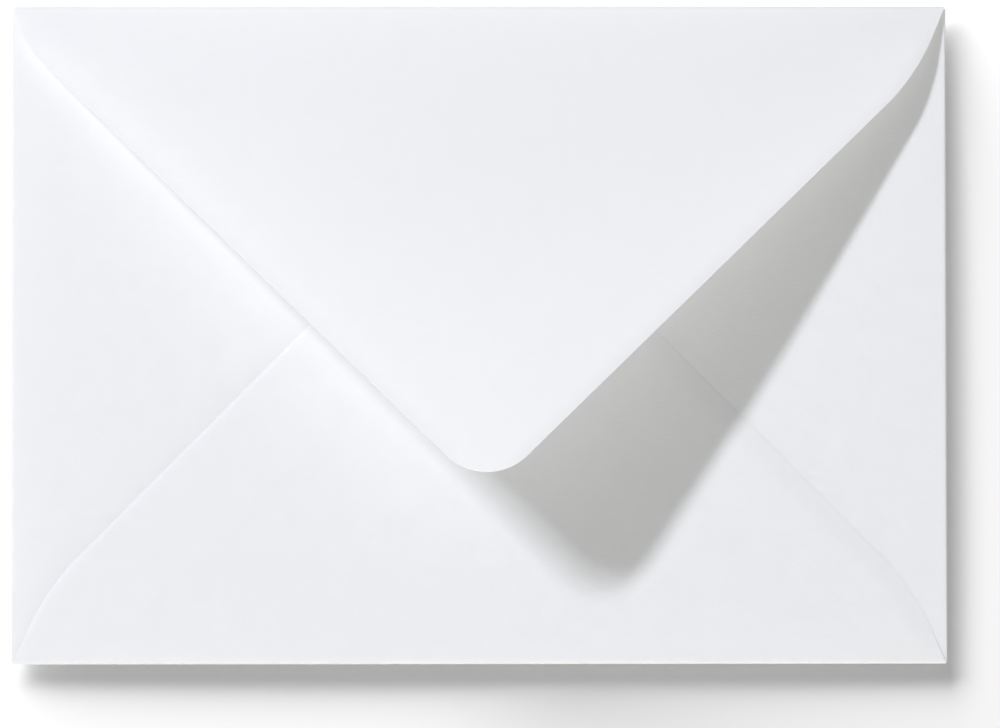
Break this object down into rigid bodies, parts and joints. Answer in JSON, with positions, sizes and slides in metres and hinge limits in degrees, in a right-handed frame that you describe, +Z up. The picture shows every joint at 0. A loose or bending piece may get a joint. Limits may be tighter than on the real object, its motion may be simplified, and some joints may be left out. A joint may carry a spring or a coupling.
{
  "type": "paper envelope",
  "caption": "White paper envelope with diagonal seams, folded from one sheet, with a pointed closing flap that stands a little open",
  "frame": {"origin": "centre of the front panel's outer face, on the surface that the envelope lies on", "axes": "+X along the width with the closing flap's fold at the far side, +Y from the bottom fold to the top fold, +Z up from the front panel to the flaps"},
  "size_m": [0.162, 0.114, 0.0216],
  "materials": {
    "paper": "matte"
  },
  "bodies": {
    "root": {"envelope": "paper"}
  },
  "joints": []
}
